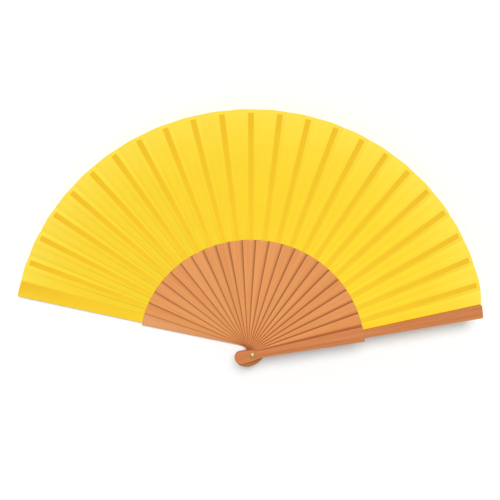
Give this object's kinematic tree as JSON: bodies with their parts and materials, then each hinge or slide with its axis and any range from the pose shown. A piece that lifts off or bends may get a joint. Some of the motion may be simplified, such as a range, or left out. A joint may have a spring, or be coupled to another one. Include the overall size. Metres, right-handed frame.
{
  "type": "folding hand fan",
  "caption": "Folding hand fan: flat wooden sticks and guards turn on a brass rivet and carry a pleated cloth leaf, so it spreads to a half disc and closes to a slim bar.",
  "frame": {"origin": "on the rivet's axis, in the plane of the back guard's outer face, which the rivet's flat tail is flush with", "axes": "+Z along the rivet towards the front guard; +Y the direction the fan opens in; +X to the front guard's side"},
  "size_m": [0.4242, 0.2327, 0.0343],
  "materials": {
    "stick_wood": "light orange-brown wood, sanded smooth, satin",
    "guard_wood": "reddish-brown wood, sanded smooth, eased edges, satin",
    "leaf_cloth": "thin yellow woven cloth, slightly see-through, sharply pleated",
    "brass": "polished"
  },
  "bodies": {
    "back_blade": {"back_guard": "guard_wood", "leaf_fold_00": "leaf_cloth", "rivet": "brass", "back_washer": "brass", "front_washer": "brass"},
    "blade_01": {"stick_01": "stick_wood", "leaf_fold_01": "leaf_cloth"},
    "blade_02": {"stick_02": "stick_wood", "leaf_fold_02": "leaf_cloth"},
    "blade_03": {"stick_03": "stick_wood", "leaf_fold_03": "leaf_cloth"},
    "blade_04": {"stick_04": "stick_wood", "leaf_fold_04": "leaf_cloth"},
    "blade_05": {"stick_05": "stick_wood", "leaf_fold_05": "leaf_cloth"},
    "blade_06": {"stick_06": "stick_wood", "leaf_fold_06": "leaf_cloth"},
    "blade_07": {"stick_07": "stick_wood", "leaf_fold_07": "leaf_cloth"},
    "blade_08": {"stick_08": "stick_wood", "leaf_fold_08": "leaf_cloth"},
    "blade_09": {"stick_09": "stick_wood", "leaf_fold_09": "leaf_cloth"},
    "blade_10": {"stick_10": "stick_wood", "leaf_fold_10": "leaf_cloth"},
    "blade_11": {"stick_11": "stick_wood", "leaf_fold_11": "leaf_cloth"},
    "blade_12": {"stick_12": "stick_wood", "leaf_fold_12": "leaf_cloth"},
    "blade_13": {"stick_13": "stick_wood", "leaf_fold_13": "leaf_cloth"},
    "blade_14": {"stick_14": "stick_wood", "leaf_fold_14": "leaf_cloth"},
    "blade_15": {"stick_15": "stick_wood", "leaf_fold_15": "leaf_cloth"},
    "blade_16": {"stick_16": "stick_wood", "leaf_fold_16": "leaf_cloth"},
    "blade_17": {"stick_17": "stick_wood", "leaf_fold_17": "leaf_cloth"},
    "blade_18": {"stick_18": "stick_wood", "leaf_fold_18": "leaf_cloth"},
    "blade_19": {"stick_19": "stick_wood", "leaf_fold_19": "leaf_cloth"},
    "blade_20": {"stick_20": "stick_wood", "leaf_fold_20": "leaf_cloth"},
    "blade_21": {"stick_21": "stick_wood", "leaf_fold_21": "leaf_cloth"},
    "blade_22": {"stick_22": "stick_wood", "leaf_fold_22": "leaf_cloth"},
    "front_blade": {"front_guard": "guard_wood", "leaf_fold_23": "leaf_cloth"}
  },
  "joints": [
    {"name": "fold_01", "type": "hinge", "parent": "back_blade", "child": "blade_01", "pos_m": [0, 0, 0], "axis": [0, 0, 1], "range_deg": [0, 6.7]},
    {"name": "fold_02", "type": "hinge", "parent": "blade_01", "child": "blade_02", "pos_m": [0, 0, 0], "axis": [0, 0, 1], "range_deg": [0, 6.7]},
    {"name": "fold_03", "type": "hinge", "parent": "blade_02", "child": "blade_03", "pos_m": [0, 0, 0], "axis": [0, 0, 1], "range_deg": [0, 6.7]},
    {"name": "fold_04", "type": "hinge", "parent": "blade_03", "child": "blade_04", "pos_m": [0, 0, 0], "axis": [0, 0, 1], "range_deg": [0, 6.7]},
    {"name": "fold_05", "type": "hinge", "parent": "blade_04", "child": "blade_05", "pos_m": [0, 0, 0], "axis": [0, 0, 1], "range_deg": [0, 6.7]},
    {"name": "fold_06", "type": "hinge", "parent": "blade_05", "child": "blade_06", "pos_m": [0, 0, 0], "axis": [0, 0, 1], "range_deg": [0, 6.7]},
    {"name": "fold_07", "type": "hinge", "parent": "blade_06", "child": "blade_07", "pos_m": [0, 0, 0], "axis": [0, 0, 1], "range_deg": [0, 6.7]},
    {"name": "fold_08", "type": "hinge", "parent": "blade_07", "child": "blade_08", "pos_m": [0, 0, 0], "axis": [0, 0, 1], "range_deg": [0, 6.7]},
    {"name": "fold_09", "type": "hinge", "parent": "blade_08", "child": "blade_09", "pos_m": [0, 0, 0], "axis": [0, 0, 1], "range_deg": [0, 6.7]},
    {"name": "fold_10", "type": "hinge", "parent": "blade_09", "child": "blade_10", "pos_m": [0, 0, 0], "axis": [0, 0, 1], "range_deg": [0, 6.7]},
    {"name": "fold_11", "type": "hinge", "parent": "blade_10", "child": "blade_11", "pos_m": [0, 0, 0], "axis": [0, 0, 1], "range_deg": [0, 6.7]},
    {"name": "fold_12", "type": "hinge", "parent": "blade_11", "child": "blade_12", "pos_m": [0, 0, 0], "axis": [0, 0, 1], "range_deg": [0, 6.7]},
    {"name": "fold_13", "type": "hinge", "parent": "blade_12", "child": "blade_13", "pos_m": [0, 0, 0], "axis": [0, 0, 1], "range_deg": [0, 6.7]},
    {"name": "fold_14", "type": "hinge", "parent": "blade_13", "child": "blade_14", "pos_m": [0, 0, 0], "axis": [0, 0, 1], "range_deg": [0, 6.7]},
    {"name": "fold_15", "type": "hinge", "parent": "blade_14", "child": "blade_15", "pos_m": [0, 0, 0], "axis": [0, 0, 1], "range_deg": [0, 6.7]},
    {"name": "fold_16", "type": "hinge", "parent": "blade_15", "child": "blade_16", "pos_m": [0, 0, 0], "axis": [0, 0, 1], "range_deg": [0, 6.7]},
    {"name": "fold_17", "type": "hinge", "parent": "blade_16", "child": "blade_17", "pos_m": [0, 0, 0], "axis": [0, 0, 1], "range_deg": [0, 6.7]},
    {"name": "fold_18", "type": "hinge", "parent": "blade_17", "child": "blade_18", "pos_m": [0, 0, 0], "axis": [0, 0, 1], "range_deg": [0, 6.7]},
    {"name": "fold_19", "type": "hinge", "parent": "blade_18", "child": "blade_19", "pos_m": [0, 0, 0], "axis": [0, 0, 1], "range_deg": [0, 6.7]},
    {"name": "fold_20", "type": "hinge", "parent": "blade_19", "child": "blade_20", "pos_m": [0, 0, 0], "axis": [0, 0, 1], "range_deg": [0, 6.7]},
    {"name": "fold_21", "type": "hinge", "parent": "blade_20", "child": "blade_21", "pos_m": [0, 0, 0], "axis": [0, 0, 1], "range_deg": [0, 6.7]},
    {"name": "fold_22", "type": "hinge", "parent": "blade_21", "child": "blade_22", "pos_m": [0, 0, 0], "axis": [0, 0, 1], "range_deg": [0, 6.7]},
    {"name": "fold_23", "type": "hinge", "parent": "blade_22", "child": "front_blade", "pos_m": [0, 0, 0], "axis": [0, 0, 1], "range_deg": [0, 6.7]}
  ],
  "couplings": [
    {"joint": "fold_02", "follows": "fold_01", "ratio": 1},
    {"joint": "fold_03", "follows": "fold_01", "ratio": 1},
    {"joint": "fold_04", "follows": "fold_01", "ratio": 1},
    {"joint": "fold_05", "follows": "fold_01", "ratio": 1},
    {"joint": "fold_06", "follows": "fold_01", "ratio": 1},
    {"joint": "fold_07", "follows": "fold_01", "ratio": 1},
    {"joint": "fold_08", "follows": "fold_01", "ratio": 1},
    {"joint": "fold_09", "follows": "fold_01", "ratio": 1},
    {"joint": "fold_10", "follows": "fold_01", "ratio": 1},
    {"joint": "fold_11", "follows": "fold_01", "ratio": 1},
    {"joint": "fold_12", "follows": "fold_01", "ratio": 1},
    {"joint": "fold_13", "follows": "fold_01", "ratio": 1},
    {"joint": "fold_14", "follows": "fold_01", "ratio": 1},
    {"joint": "fold_15", "follows": "fold_01", "ratio": 1},
    {"joint": "fold_16", "follows": "fold_01", "ratio": 1},
    {"joint": "fold_17", "follows": "fold_01", "ratio": 1},
    {"joint": "fold_18", "follows": "fold_01", "ratio": 1},
    {"joint": "fold_19", "follows": "fold_01", "ratio": 1},
    {"joint": "fold_20", "follows": "fold_01", "ratio": 1},
    {"joint": "fold_21", "follows": "fold_01", "ratio": 1},
    {"joint": "fold_22", "follows": "fold_01", "ratio": 1},
    {"joint": "fold_23", "follows": "fold_01", "ratio": 1}
  ]
}
